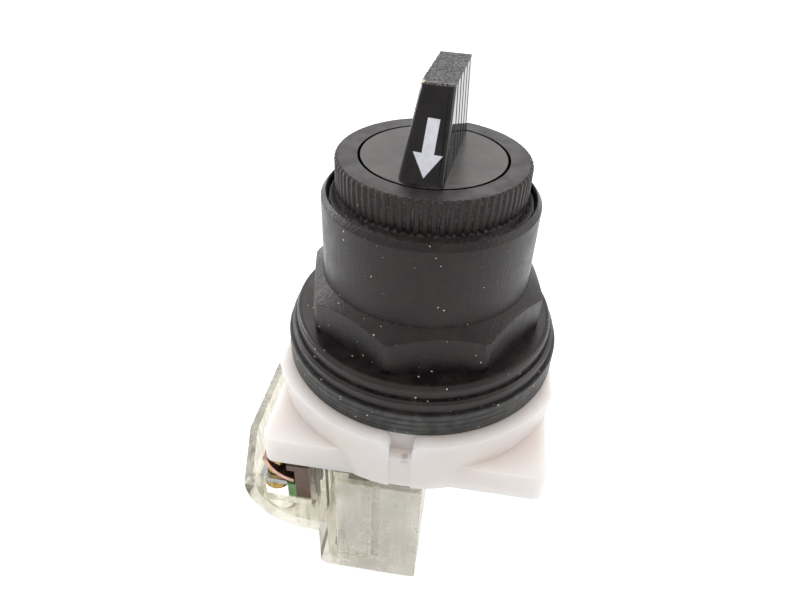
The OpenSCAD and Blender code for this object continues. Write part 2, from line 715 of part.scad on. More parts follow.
module thrust_washer() color("#2a2a2c") {
  top = washer_step_h + washer_top_h;
  r = washer_top_d / 2;
  translate([0, 0, washer_z]) rotate_extrude(convexity = 4) polygon(concat(
    [[stack_bore_d / 2, 0], [washer_d / 2, 0], [washer_d / 2, washer_step_h - 0.4],
      [washer_d / 2 - 0.4, washer_step_h]],
    [[r, washer_step_h]],
    arc(r - washer_round, top - washer_round, washer_round, 0, 90, 6),
    [[stack_bore_d / 2, top]]
  ));
}

module ring_nut() color("#2c2a2c") {
  cone_top = foot_h + foot_cone_h;
  h = nut_top - nut_z;
  r = nut_d / 2;
  translate([0, 0, nut_z]) difference() {
    intersection() {
      union() {
        rotate([0, 0, nut_turn]) cylinder(d = foot_corner_d + 0.4, h = cone_top - 0.1, $fn = foot_sides);
        cylinder(r = r, h = h);
      }
      rotate_extrude(convexity = 4) polygon([
        [0, 0], [foot_corner_d / 2 - 0.3, 0], [foot_corner_d / 2, 0.3], [foot_corner_d / 2, foot_h],
        [r, cone_top], [r, h - nut_chamfer], [r - nut_chamfer * 0.8, h], [0, h]
      ]);
    }
    translate([0, 0, -eps]) cylinder(d = nut_bore_d, h = h + 2 * eps);
    translate([0, 0, h - 0.3]) cylinder(r1 = nut_bore_d / 2, r2 = nut_bore_d / 2 + 0.3 + eps, h = 0.3 + eps);
  }
}

// The knurl's star outline
function knurl_points() = [
  for (i = [0:knurl_count - 1], j = [0:3])
    let (
      a = (i + [0, 0.24, 0.5, 0.76][j]) * 360 / knurl_count,
      r = ring_d / 2 - [0, 0.12, 1, 0.12][j] * knurl_depth
    )
      [r * cos(a), r * sin(a)]
];

module knurled_ring() color("#29282a") {
  band_z = bush_h + ring_flange_t;
  knurl_z = band_z + band_h;
  r = ring_d / 2;
  difference() {
    union() {
      intersection() {
        translate([0, 0, knurl_z]) linear_extrude(height = face_z - knurl_z, convexity = 4)
          polygon(knurl_points());
        rotate_extrude(convexity = 4) polygon(concat(
          [[0, knurl_z], [r + 0.1, knurl_z], [r + 0.1, face_z - ring_edge_r]],
          arc(ring_face_d / 2, face_z - ring_edge_r, ring_edge_r, 15, 90, 4),
          [[0, face_z]]
        ));
      }
      translate([0, 0, band_z - eps]) rotate_extrude(convexity = 4) polygon([
        [0, 0], [r, 0], [r, band_h - 0.3], [r - 0.4, band_h + 2 * eps], [0, band_h + 2 * eps]
      ]);
      translate([0, 0, bush_h]) cylinder(d = ring_flange_d, h = ring_flange_t);
      translate([0, 0, bush_h - ring_thread_l]) cylinder(d = ring_thread_d, h = ring_thread_l + eps);
    }
    translate([0, 0, bush_h - ring_thread_l - eps])
      cylinder(d = ring_bore_d, h = lip_z - bush_h + ring_thread_l + eps);
    translate([0, 0, lip_z - eps]) cylinder(d = ring_hole_d, h = lip_t + 2 * eps);
  }
}

module plunger(side) {
  translate([side * plunger_x, 0, 0]) {
    translate([0, 0, plunger_tip_z]) sphere(d = plunger_d, $fn = 48);
    translate([0, 0, plunger_end_z]) cylinder(d = plunger_d, h = plunger_tip_z - plunger_end_z, $fn = 48);
    translate([0, 0, plunger_collar_z]) cylinder(d = plunger_collar_d, h = plunger_collar_t, $fn = 48);
  }
}

module left_plunger() color("#efece6") plunger(-1);
module right_plunger() color("#efece6") plunger(1);

module plunger_spring(side) {
  r = (plunger_d + plunger_collar_d) / 4 + 0.15;
  translate([side * plunger_x, 0, floor_z]) coil(r, plunger_wire_d, plunger_spring_h, 5);
}

module left_plunger_spring() color("#b5b8bc") plunger_spring(-1);
module right_plunger_spring() color("#b5b8bc") plunger_spring(1);

// The block's outline from the front, drawn smaller by an inset for its inside
module block_outline(inset) {
  r = shoulder_r - inset;
  polygon(concat(
    [[block_left + inset, rim_z]],
    arc(block_left + shoulder_r, shoulder_bottom + shoulder_r, r, 180, 270, 10),
    [
      [tower_left + inset, shoulder_bottom + inset],
      [tower_left + inset, tower_bottom + inset + tower_round],
      [tower_left + inset + tower_round, tower_bottom + inset]
    ],
    arc(block_right - inset - tower_round, tower_bottom + inset + tower_round, tower_round, 270, 360, 4),
    [[block_right - inset, rim_z]]
  ));
}

// The outline run from front to back
module block_body(inset) {
  rotate([90, 0, 0]) translate([0, 0, -half_block + inset])
    linear_extrude(height = block_l - 2 * inset) block_outline(inset);
}

// The slant that is cut from each end of the shoulder
module slant_cut(end) {
  translate([block_left - 1, 0, rim_z]) rotate([90, 0, 90]) linear_extrude(height = side_box_w + 1)
    polygon([[end * (half_block - slant_l), eps], [end * (half_block + 1), eps],
      [end * (half_block + 1), -slant_h - slant_h / slant_l],
      [end * half_block, -slant_h]]);
}

// The upright ribs inside one end wall, beside the terminal window
module block_end(end) {
  rib_in = end * (half_block - 3.4);
  low = min(end * inner_front, rib_in);
  high = max(end * inner_front, rib_in);
  for (x = [tower_left - 0.9, tower_left + 1.5])
    span([x, low, rim_z - window_h - 2], [x + 0.8, high, rim_z - 0.6]);
}

module window_cut(end) {
  window_left = block_left + side_box_w;
  outer = end * (half_block + 1);
  inner = end * (inner_front - eps);
  span([window_left, min(outer, inner), rim_z - window_h], [tower_left - 0.9, max(outer, inner), rim_z + 1]);
}

module tower_panel_cut(end) {
  panel_left = tower_left + 3.2;
  strip_left = panel_left + panel_w + 0.6;
  outer = end * (half_block + 1);
  panel = end * (half_block - panel_recess);
  span([panel_left, min(outer, panel), tower_bottom + 4],
    [panel_left + panel_w, max(outer, panel), rim_z - 3.4]);
  span([strip_left, min(outer, panel), tower_bottom + 5], [strip_left + 1.2, max(outer, panel), rim_z - 3.4]);
}

// The tube that takes one mounting screw
module screw_tube(y) {
  translate([-mount_x, y, tower_bottom]) cylinder(d = mount_head_d + 2 * tube_wall, h = tube_h);
}

module screw_tube_cut(y) {
  translate([-mount_x, y, tower_bottom - eps]) cylinder(d = mount_head_d + 2 * tube_gap, h = tube_head_h);
  translate([-mount_x, y, tower_bottom - eps]) cylinder(d = mount_screw_d + 2 * mount_gap, h = tube_bore_h);
}

module block_housing() color("#e9ead2", 0.5) {
  difference() {
    union() {
      difference() {
        block_body(0);
        translate([0, 0, 1]) block_body(cover_wall);
        block_body(cover_wall);
      }
      intersection() {
        union() {
          for (end = [-1, 1]) block_end(end);
          for (y = [-1, 1]) screw_tube(y * mount_pitch / 2);
          translate([carrier_x, 0, tower_bottom]) cylinder(d = boss_d, h = 3);
        }
        block_body(0);
      }
    }
    for (end = [-1, 1]) {
      slant_cut(end);
      window_cut(end);
      tower_panel_cut(end);
      screw_tube_cut(end * mount_pitch / 2);
      translate([terminal_x, end * terminal_y, shoulder_bottom - 1])
        cylinder(d = terminal_head_d + 0.6, h = 8);
      translate([lower_terminal_x, end * terminal_y, tower_bottom - 1])
        cylinder(d = terminal_head_d + 0.6, h = 3);
      translate([block_right - 2, end * terminal_y, lower_strip_z - 1.2]) rotate([0, 90, 0])
        cylinder(d = 3.8, h = 4);
    }
  }
}

// A box at one end of the block, given by its X, by its distances from the middle, and by its Z
module end_span(end, x, y, z) {
  span([x[0], min(end * y[0], end * y[1]), z[0]], [x[1], max(end * y[0], end * y[1]), z[1]]);
}

module block_frame() color("#4a3428") {
  left = block_left + side_box_w + 0.2;
  right = block_right - cover_wall - 0.1;
  cheek_right = cheek_x + cheek_t;
  difference() {
    union() {
      span([left, -curtain_y, frame_z], [right, curtain_y, rim_z]);
      for (end = [-1, 1]) {
        end_span(end, [tower_left + 2.8, right], [curtain_y - curtain_t, inner_front - 0.1],
          [frame_z, rim_z]);
        end_span(end, [left + 0.8, cheek_right], [curtain_y - curtain_t, curtain_y],
          [cheek_bottom - 1.6, frame_z + eps]);
        end_span(end, [cheek_x, cheek_right], [curtain_y - eps, cheek_front], [cheek_bottom, strip_z - 0.2]);
        end_span(end, [cheek_x - 1.3, cheek_x + eps], [curtain_y + 2.3, cheek_front],
          [strip_z - 1.5, strip_z - 0.2]);
      }
    }
    translate([carrier_x, 0, frame_z - eps])
      cylinder(d = plunger_d + 2 * run_gap + 1.2, h = frame_t + 2 * eps);
    for (y = [-1, 1]) translate([-mount_x, y * mount_pitch / 2, frame_z - eps])
      cylinder(d = mount_screw_d + 2 * mount_gap, h = frame_t + 2 * eps);
  }
}

// The insulating blocks beside the upper terminals in the shoulder
module terminal_insulator() color("#4f8a4a") {
  for (end = [-1, 1])
    end_span(end, [cheek_x - insulator_t, cheek_x], [curtain_y + 0.1, cheek_front],
      [cheek_bottom, strip_z - insulator_drop]);
}

module carrier_window(z) {
  span([carrier_x - strip_w / 2 - 0.2, -carrier_w, z],
    [carrier_x + strip_w / 2 + 0.2, carrier_w, z + carrier_window_h]);
}

module contact_carrier() color("#d9d4c4") {
  difference() {
    union() {
      span([carrier_x - carrier_w / 2, -carrier_w / 2, carrier_bottom],
        [carrier_x + carrier_w / 2, carrier_w / 2, frame_z - plunger_travel - 0.3]);
      translate([carrier_x, 0, carrier_bottom]) cylinder(d = plunger_d, h = carrier_top - carrier_bottom);
    }
    carrier_window(upper_window_z);
    carrier_window(lower_bridge_z);
    translate([carrier_x, 0, carrier_bottom - eps]) cylinder(d = boss_d + 2 * free_gap, h = 1.2);
  }
}

// One moving bridge, a strip along Y
module bridge(z) {
  span([carrier_x - strip_w / 2, -tip_y - pad_l, z], [carrier_x + strip_w / 2, tip_y + pad_l, z + strip_t]);
}

module upper_bridge() color("#b98a4a") bridge(upper_bridge_z);
module lower_bridge() color("#b98a4a") bridge(lower_bridge_z);

module tips(z) {
  for (y = [-1, 1]) translate([carrier_x, y * tip_y, z]) cylinder(d = tip_d, h = tip_t, $fn = 32);
}

module moving_tips() color("#cfcfd2") {
  tips(upper_bridge_z + strip_t);
  tips(lower_tip_z);
}

module fixed_tips() color("#cfcfd2") {
  tips(fixed_tip_z);
  tips(lower_fixed_tip_z);
}

module upper_contact_spring() color("#b5b8bc") {
  translate([carrier_x, 0, upper_window_z]) coil(1.2, 0.4, carrier_window_h - strip_t, 5);
}

module lower_contact_spring() color("#b5b8bc") {
  translate([carrier_x, 0, lower_bridge_z + strip_t]) coil(1.2, 0.4, carrier_window_h - strip_t, 5);
}

module carrier_return_spring() color("#b5b8bc") {
  low = tower_bottom + cover_wall;
  translate([carrier_x, 0, low]) coil(boss_d / 2 + 0.4, 0.45, carrier_bottom - low, 4);
}

// An upper fixed contact: a pad over the moving tip, a run across and a curved leaf down to the terminal
module upper_contact(end) {
  pad_in = tip_y - pad_l;
  run_in = curtain_y + 0.1;
  run_out = run_in + run_w;
  leaf_out = cheek_front - 0.1;
  difference() {
    union() {
      end_span(end, [carrier_x - strip_w / 2, carrier_x + strip_w / 2], [pad_in, run_out],
        [strip_z, strip_z + strip_t]);
      end_span(end, [leaf_x - leaf_r + 0.2, carrier_x], [run_in, run_out], [strip_z, strip_z + strip_t]);
      translate([0, end * (run_in + leaf_out) / 2, 0]) rotate([90, 0, 0])
        linear_extrude(height = leaf_out - run_in, center = true) polygon(concat(
          arc(leaf_x, leaf_z, leaf_r, 190, leaf_end, 12),
          arc(leaf_x, leaf_z, leaf_r - strip_t, leaf_end, 190, 12)
        ));
    }
    translate([terminal_x, end * terminal_y, strip_z - leaf_r])
      cylinder(d = terminal_screw_d + 0.1, h = leaf_r + 2);
  }
}

module upper_front_contact() color("#c98f78") upper_contact(-1);
module upper_back_contact() color("#c98f78") upper_contact(1);

// A lower fixed contact: a pad under the moving tip and a run across the tower to its terminal
module lower_contact(end) {
  pad_in = tip_y - pad_l;
  run_in = terminal_y - clamp_w / 2 - 0.1;
  run_out = terminal_y + clamp_w / 2 + 0.1;
  difference() {
    union() {
      end_span(end, [carrier_x - strip_w / 2, carrier_x + strip_w / 2], [pad_in, run_out],
        [lower_strip_z, lower_strip_z + strip_t]);
      end_span(end, [carrier_x, lower_terminal_x + 2.7], [run_in, run_out],
        [lower_strip_z, lower_strip_z + strip_t]);
    }
    translate([lower_terminal_x, end * terminal_y, lower_strip_z - 1])
      cylinder(d = terminal_screw_d + 0.1, h = 3);
  }
}

module lower_front_contact() color("#c98f78") lower_contact(-1);
module lower_back_contact() color("#c98f78") lower_contact(1);

// Where the four terminals stand, each with the height of its strip's underside and the drop to its clamp
function terminals() = [
  for (end = [-1, 1]) each [
    [terminal_x, end * terminal_y, strip_z, upper_clamp_drop],
    [lower_terminal_x, end * terminal_y, lower_strip_z, lower_clamp_drop]
  ]
];

module terminal_clamps() color("#c4c6c9") {
  for (p = terminals()) translate([p[0], p[1], p[2] - p[3] - clamp_t]) difference() {
    span([-clamp_w / 2, -clamp_w / 2, 0], [clamp_w / 2, clamp_w / 2, clamp_t]);
    translate([0, 0, -eps]) cylinder(d = terminal_screw_d + 0.3, h = clamp_t + 2 * eps);
  }
}

module terminal_screws() color("#cda24a") {
  for (p = terminals()) translate([p[0], p[1], p[2] - p[3] - clamp_t - terminal_head_t]) difference() {
    union() {
      cylinder(d = terminal_head_d, h = terminal_head_t);
      cylinder(d = terminal_screw_d, h = terminal_head_t + clamp_t + p[3] + strip_t - 0.2);
    }
    span([-terminal_head_d, -0.4, -eps], [terminal_head_d, 0.4, 1]);
  }
}

module block_screws() color("#b9bcc0") {
  head_z = tower_bottom + 3.2;
  for (y = [-1, 1]) translate([-mount_x, y * mount_pitch / 2, head_z]) difference() {
    union() {
      cylinder(d = mount_head_d, h = 2.7);
      cylinder(d = mount_screw_d, h = rear_z + insert_l - 0.6 - head_z);
    }
    span([-mount_head_d, -0.4, -eps], [mount_head_d, 0.4, 1.1]);
  }
}

operator_base();
threaded_inserts();
panel_gaskets();
thrust_washer();
ring_nut();
knurled_ring();
selector_knob();
pointer_arrow();
knob_seal();
knob_screw();
cam_rotor();
detent_spring();
left_plunger();
right_plunger();
left_plunger_spring();
right_plunger_spring();
block_housing();
block_frame();
terminal_insulator();
contact_carrier();
upper_bridge();
lower_bridge();
moving_tips();
fixed_tips();
upper_contact_spring();
lower_contact_spring();
carrier_return_spring();
upper_front_contact();
upper_back_contact();
lower_front_contact();
lower_back_contact();
terminal_clamps();
terminal_screws();
block_screws();
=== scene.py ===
"""Looks of a panel selector switch: a black bladed knob, knurled ring and ring nut over a milky
base, with one clear contact block. Lengths are in metres, +Z points out through the panel, and -Y
is the arrow's side."""

import json
import math

import bmesh
import bpy
from bpy.props import FloatProperty, FloatVectorProperty, PointerProperty
from mathutils import Matrix, Vector


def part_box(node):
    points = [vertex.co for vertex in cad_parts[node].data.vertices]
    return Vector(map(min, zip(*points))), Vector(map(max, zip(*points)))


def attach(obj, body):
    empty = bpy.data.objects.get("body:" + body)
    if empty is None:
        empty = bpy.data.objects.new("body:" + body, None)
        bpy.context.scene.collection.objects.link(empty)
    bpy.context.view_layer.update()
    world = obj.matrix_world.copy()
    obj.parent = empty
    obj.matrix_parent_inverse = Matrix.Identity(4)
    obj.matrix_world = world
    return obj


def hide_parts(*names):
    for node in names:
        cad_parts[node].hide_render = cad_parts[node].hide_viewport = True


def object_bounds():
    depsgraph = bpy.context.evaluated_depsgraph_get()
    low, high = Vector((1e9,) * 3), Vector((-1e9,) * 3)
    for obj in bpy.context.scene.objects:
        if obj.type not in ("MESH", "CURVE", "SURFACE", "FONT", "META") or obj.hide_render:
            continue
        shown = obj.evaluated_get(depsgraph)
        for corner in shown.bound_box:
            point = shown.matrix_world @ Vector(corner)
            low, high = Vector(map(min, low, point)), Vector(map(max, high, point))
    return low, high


bl_info = {
    "name": "Selector switch looks",
    "version": (1, 0, 0),
    "blender": (4, 5, 0),
    "location": "3D View > Sidebar > Switch",
    "description": "Gives the solids of a panel selector switch their edges, threads and finishes",
    "category": "Object",
}

MM = 0.001
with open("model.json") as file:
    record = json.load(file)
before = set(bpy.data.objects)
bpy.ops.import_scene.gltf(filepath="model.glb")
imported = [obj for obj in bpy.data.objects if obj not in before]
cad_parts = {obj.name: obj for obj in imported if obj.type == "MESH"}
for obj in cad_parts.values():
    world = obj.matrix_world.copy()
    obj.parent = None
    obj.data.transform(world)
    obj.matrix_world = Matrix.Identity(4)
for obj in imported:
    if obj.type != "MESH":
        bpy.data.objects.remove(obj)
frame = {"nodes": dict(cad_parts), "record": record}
NODES = frame["nodes"]
BODIES = frame["record"]["behaviour"]["bodies"]
BODY_OF = {node: body for body, nodes in BODIES.items() for node in nodes}
CAD_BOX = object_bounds()

# Corners of a mesh that lie closer than this become one.
WELD = 0.0005 * MM
# Neighbouring faces that differ by less than this become one before edges are rounded.
FLAT = math.radians(0.4)
# The scales that draw a pattern out into upright streaks.
UPRIGHT = (1, 1, 0.06)

# Each lamp's name, its place in metres, the side of its square in metres and its power in watts.
LAMPS = (
    ("key_lamp", (-0.3, -0.12, 0.4), 0.3, 0.22),
    ("right_lamp", (0.42, 0.04, 0.14), 0.24, 0.45),
    ("left_lamp", (-0.41, 0.16, 0.14), 0.12, 0.6),
    ("back_lamp", (-0.04, 0.38, 0.36), 0.3, 0.7),
)
LAMP_TARGET = (0, 0, 0.01)
# The world's light on the object. The camera sees a world of strength 1, which is white.
WORLD_LIGHT = 0.9

# The photograph's view, fitted to the rings, the base and the block in the picture.
CAMERA_PLACE_MM = (6.17, -81.5, 70.3)
CAMERA_HEADING = math.radians(7.06)
CAMERA_TILT = math.radians(37.49)
CAMERA_ROLL = math.radians(2.46)
LENS_MM, SENSOR_MM = 28, 36


def linear(code):
    """Turns an sRGB hex value into linear red, green and blue."""
    parts = [int(code[i : i + 2], 16) / 255 for i in (1, 3, 5)]
    return tuple(c / 12.92 if c <= 0.04045 else ((c + 0.055) / 1.055) ** 2.4 for c in parts)


def colour(name, code, words):
    """A colour that a user can change, whose default is an sRGB hex value."""
    return FloatVectorProperty(
        name=name, description=words, subtype="COLOR", size=3, min=0, max=1, default=linear(code)
    )


def length(name, size_mm, words):
    """A length that a user can change, whose default is in millimetres."""
    return FloatProperty(
        name=name, description=words, unit="LENGTH", min=0, precision=6, default=size_mm * MM
    )


class SwitchSizes(bpy.types.PropertyGroup):
    """Sizes of the fine detail on the switch"""

    knob_edge: length("Knob edge", 0.22, "Radius on the knob's moulded edges")
    pointer_edge: length("Pointer face edge", 0.8, "Radius on the pointer face's two long edges")
    ring_edge: length("Ring edge", 0.07, "Radius on the knurled ring's edges")
    nut_edge: length("Nut edge", 0.25, "Radius on the ring nut's edges")
    base_edge: length("Base edge", 1.2, "Radius on the milky base's edges")
    block_edge: length("Block edge", 0.22, "Radius on the clear housing's edges")
    thread_pitch: length("Thread pitch", 0.5, "Pitch of the terminal screws' thread")
    thread_depth: length("Thread depth", 0.2, "Depth of the terminal screws' thread")
    speck: length("Dust speck", 0.12, "Radius of the largest speck of dust")


class SwitchColours(bpy.types.PropertyGroup):
    """Colours of the switch's materials"""

    knob: colour("Knob", "#0d0d0e", "Glossy black moulding of the knob")
    knob_top: colour("Knob's top", "#19181a", "Ground of the knob's grainy top")
    knob_grain: colour("Top's grain", "#7c7a7d", "Pale grain of the knob's top")
    ring: colour("Ring", "#141212", "Satin black moulding of the knurled ring")
    nut: colour("Nut", "#100f0f", "Matt black moulding of the ring nut")
    washer: colour("Washer", "#141212", "Black thrust washer")
    sheen: colour("Sheen", "#fff7f5", "Tint of the reflections on the black mouldings")
    rubber: colour("Rubber", "#201f1e", "Black rubber of the gaskets")
    arrow: colour("Arrow", "#dcdce6", "White filling of the arrow")
    base: colour("Base", "#dfd9d7", "Milky nylon of the base")
    clear: colour("Clear housing", "#f6f3ea", "Clear housing with a faint warm tint")
    frame: colour("Frame", "#533b2e", "Dark brown phenolic moulding")
    insulator: colour("Insulator", "#5b8450", "Green insulating block")
    acetal: colour("Acetal", "#e9e5da", "Off-white acetal of the plungers and carrier")
    copper: colour("Copper strip", "#c7a494", "Pinkish copper alloy of the contact strips")
    brass: colour("Brass", "#d6b673", "Brass of the screws and inserts")
    steel: colour("Steel", "#b9bcc0", "Zinc plated steel")
    silver: colour("Silver", "#dcdcde", "Silver of the contact tips")
    # The dust colour also paints the highlight along the knob's front top edge.
    dust: colour("Dust", "#d9d2bf", "Dust and lint on the dark pieces")


def sizes():
    """The sizes that the operators read."""
    return bpy.context.scene.switch_sizes


def paint(name):
    """One of the scene's colours, with full alpha."""
    return (*getattr(bpy.context.scene.switch_colours, name), 1)


def tinted(ground, factors, lift=0.0):
    """A colour whose channels are multiplied by the factors, and then lifted."""
    return (*(min(1, c * k + lift) for c, k in zip(ground, factors)), 1)


def scaled(ground, factor, lift=0.0):
    """A colour made lighter or darker by one factor, and then lifted."""
    return tinted(ground, (factor,) * 3, lift)


def connect(tree, node, sockets):
    """Gives a node's sockets their values, or a link where the value is another node's socket."""
    for key, value in sockets.items():
        if isinstance(value, bpy.types.NodeSocket):
            tree.links.new(value, node.inputs[key])
        else:
            node.inputs[key].default_value = value


def put(tree, kind, sockets=None, **settings):
    """Adds a node with its settings, and connects its sockets."""
    node = tree.nodes.new(kind)
    for name, value in settings.items():
        setattr(node, name, value)
    connect(tree, node, sockets or {})
    return node


def start_material(name):
    """A new material with its node tree and its shader."""
    material = bpy.data.materials.new(name)
    material.use_nodes = True
    tree = material.node_tree
    return material, tree, tree.nodes["Principled BSDF"]


def place_in(tree):
    """The place on the object, in metres, that every pattern starts from."""
    return put(tree, "ShaderNodeTexCoord").outputs["Object"]


def split(tree, vector):
    """A vector's three parts."""
    return put(tree, "ShaderNodeSeparateXYZ", {0: vector}).outputs


def calc(tree, kind, a, b):
    """The result of a Math node."""
    return put(tree, "ShaderNodeMath", {0: a, 1: b}, operation=kind).outputs[0]


def band(tree, value, low, high, start=0.0, end=1.0):
    """Maps a value from low..high to start..end, smoothly and without overshoot."""
    ramp = put(
        tree,
        "ShaderNodeMapRange",
        {"Value": value, "From Min": low, "From Max": high, "To Min": start, "To Max": end},
        interpolation_type="SMOOTHSTEP",
    )
    return ramp.outputs[0]


def blend_colours(tree, factor, low, high):
    """Mixes two colours by a factor."""
    # A Mix node's colour sockets share their names with its number sockets, so they go by place.
    return put(tree, "ShaderNodeMix", {0: factor, 6: low, 7: high}, data_type="RGBA").outputs[2]


def grain(tree, place, size_mm, detail=2.0, rough=0.5, stretch=(1, 1, 1)):
    """A noise whose lumps are about size_mm across, from 0 to 1."""
    mapped = put(tree, "ShaderNodeMapping", {"Vector": place, "Scale": stretch}).outputs[0]
    noise = put(
        tree,
        "ShaderNodeTexNoise",
        {"Vector": mapped, "Scale": 1 / (size_mm * MM), "Detail": detail, "Roughness": rough},
    )
    return noise.outputs["Fac"]


def round_place(tree, place):
    """Coordinates that run round the axis, away from it and along it, in metres."""
    ring_radius = 20 * MM
    parts = split(tree, place)
    angle = calc(tree, "ARCTAN2", parts["Y"], parts["X"])
    flat = put(tree, "ShaderNodeVectorMath", {0: place, 1: (1, 1, 0)}, operation="MULTIPLY")
    reach = put(tree, "ShaderNodeVectorMath", {0: flat.outputs[0]}, operation="LENGTH")
    around = calc(tree, "MULTIPLY", angle, ring_radius)
    joined = put(
        tree, "ShaderNodeCombineXYZ", {0: around, 1: reach.outputs["Value"], 2: parts["Z"]}
    )
    return joined.outputs[0]


def bump(tree, height, depth_mm):
    """A normal with a height's relief, depth_mm deep."""
    sockets = {"Height": height, "Distance": depth_mm * MM, "Strength": 1}
    return put(tree, "ShaderNodeBump", sockets).outputs[0]


def dust_mask(tree, place, amount):
    """A mask of scattered specks, more of them for a higher amount."""
    cell = 0.85 * MM
    bend = 0.3 * MM
    largest = sizes().speck / cell
    smallest = 0.35 * largest
    swirl = put(tree, "ShaderNodeTexNoise", {"Vector": place, "Scale": 1 / bend, "Detail": 1})
    bent = put(
        tree,
        "ShaderNodeVectorMath",
        {0: swirl.outputs["Color"], 1: (bend,) * 3, 2: place},
        operation="MULTIPLY_ADD",
    )
    cells = put(tree, "ShaderNodeTexVoronoi", {"Vector": bent.outputs[0], "Scale": 1 / cell})
    chance = put(tree, "ShaderNodeSeparateColor", {0: cells.outputs["Color"]}).outputs
    radius = band(tree, chance[1], 0, 1, smallest, largest)
    near = band(tree, calc(tree, "DIVIDE", cells.outputs["Distance"], radius), 0.8, 1.4, 1, 0)
    chosen = band(tree, chance[0], 1 - amount, 1 - amount + 0.01)
    return calc(tree, "MULTIPLY", near, chosen)


def edge_mask(tree, width_mm):
    """A mask of the edges, found from how far a rounded normal differs from the true one."""
    rounded = put(tree, "ShaderNodeBevel", {"Radius": width_mm * MM}, samples=4).outputs[0]
    true = put(tree, "ShaderNodeNewGeometry").outputs["True Normal"]
    cosine = put(tree, "ShaderNodeVectorMath", {0: rounded, 1: true}, operation="DOT_PRODUCT")
    return band(tree, cosine.outputs["Value"], 0.98, 0.75)


def black_moulding(name, paint_name, rough, grain_mm, depth_mm, dust, streaks=0.0, ior=1.45):
    """Black thermoset: a dark ground with a broad browner mottle, fine moulded grain, lighter worn
    edges and some dust."""
    material, tree, shader = start_material(name)
    place = place_in(tree)
    ground = paint(paint_name)

    mottle = band(tree, grain(tree, place, size_mm=2.2, detail=5, rough=0.65), 0.4, 0.7)
    browner = tinted(ground, (2.6, 1.8, 1.9), lift=0.003)
    base = blend_colours(tree, mottle, ground, browner)

    broken_up = band(tree, grain(tree, place, size_mm=0.55, detail=3), 0.45, 0.6)
    worn = calc(tree, "MULTIPLY", edge_mask(tree, width_mm=0.35), broken_up)
    base = blend_colours(tree, worn, base, scaled(ground, 3, lift=0.035))

    specks = dust_mask(tree, place, dust)
    base = blend_colours(tree, specks, base, paint("dust"))

    relief = grain(tree, place, grain_mm, detail=3, rough=0.6)
    if streaks:
        drawn = grain(tree, place, size_mm=0.5, stretch=UPRIGHT)
        relief = calc(tree, "ADD", relief, calc(tree, "MULTIPLY", drawn, streaks))

    patches = grain(tree, place, size_mm=2.2, detail=3)
    uneven = band(tree, patches, 0.3, 0.7, rough * 0.85, rough * 1.2)
    skin = {
        "Base Color": base,
        "Roughness": calc(tree, "ADD", uneven, specks),
        "IOR": ior,
        "Specular Tint": paint("sheen"),
        "Normal": bump(tree, relief, depth_mm),
    }
    connect(tree, shader, skin)
    return material


def glossy_knob():
    """Glossy black thermoset, polished by its mould, with dust on what faces up, and a grainy matt
    top, with a painted highlight, broken up, along its front top edge."""
    material = black_moulding(
        "glossy_black_thermoset",
        "knob",
        rough=0.05,
        grain_mm=0.5,
        depth_mm=0.002,
        dust=0.02,
        ior=1.34,
    )
    tree = material.node_tree
    shader = tree.nodes["Principled BSDF"]
    place = place_in(tree)
    height = split(tree, place)["Z"]
    normal = split(tree, put(tree, "ShaderNodeNewGeometry").outputs["Normal"])
    facing_up = band(tree, normal["Z"], 0.7, 0.9)

    skin = shader.inputs["Base Color"].links[0].from_socket
    clouds = grain(tree, place, size_mm=4, detail=4, rough=0.6)
    film = calc(tree, "MULTIPLY", facing_up, band(tree, clouds, 0.3, 0.7, 0.005, 0.055))
    skin = blend_colours(tree, film, skin, paint("dust"))

    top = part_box("selector_knob")[1].z
    on_top = band(tree, height, top - 0.35 * MM, top - 0.2 * MM)
    specks = band(tree, grain(tree, place, size_mm=0.3, detail=4, rough=0.8), 0.4, 0.62)
    matt = blend_colours(tree, specks, paint("knob_top"), paint("knob_grain"))
    skin = blend_colours(tree, on_top, skin, matt)

    # Painted highlight: a broken pale line, in the dust colour, along the pointer face's top front
    # edge, where that edge catches the light from above.
    rim = band(tree, height, top - 0.6 * MM, top - 0.5 * MM)
    facing_front = band(tree, normal["Y"], -0.1, -0.2)
    leaning_up = band(tree, normal["Z"], 0.54, 0.6)
    front_edge = calc(tree, "MULTIPLY", facing_front, leaning_up)
    broken_up = band(tree, grain(tree, place, size_mm=0.6), 0.4, 0.46)
    painted_edge_highlight = calc(tree, "MULTIPLY", calc(tree, "MULTIPLY", front_edge, rim), broken_up)
    skin = blend_colours(tree, painted_edge_highlight, skin, paint("dust"))

    gloss = shader.inputs["Roughness"].links[0].from_socket
    plate_satin = calc(tree, "MULTIPLY", facing_up, 0.24)
    top_satin = calc(tree, "MULTIPLY", on_top, 0.4)
    satin = calc(tree, "ADD", plate_satin, top_satin)
    connect(tree, shader, {"Base Color": skin, "Roughness": calc(tree, "ADD", gloss, satin)})
    return material


def arrow_filling():
    """White filling paint, flat and slightly uneven, with a faint blue cast."""
    material, tree, shader = start_material("white_filling_paint")
    place = place_in(tree)
    ground = paint("arrow")
    patches = band(tree, grain(tree, place, size_mm=0.8, detail=3), 0.3, 0.75)
    skin = {
        "Base Color": blend_colours(tree, patches, ground, scaled(ground, 0.86)),
        "Roughness": 0.45,
        "Normal": bump(tree, grain(tree, place, size_mm=0.25), depth_mm=0.008),
    }
    connect(tree, shader, skin)
    return material


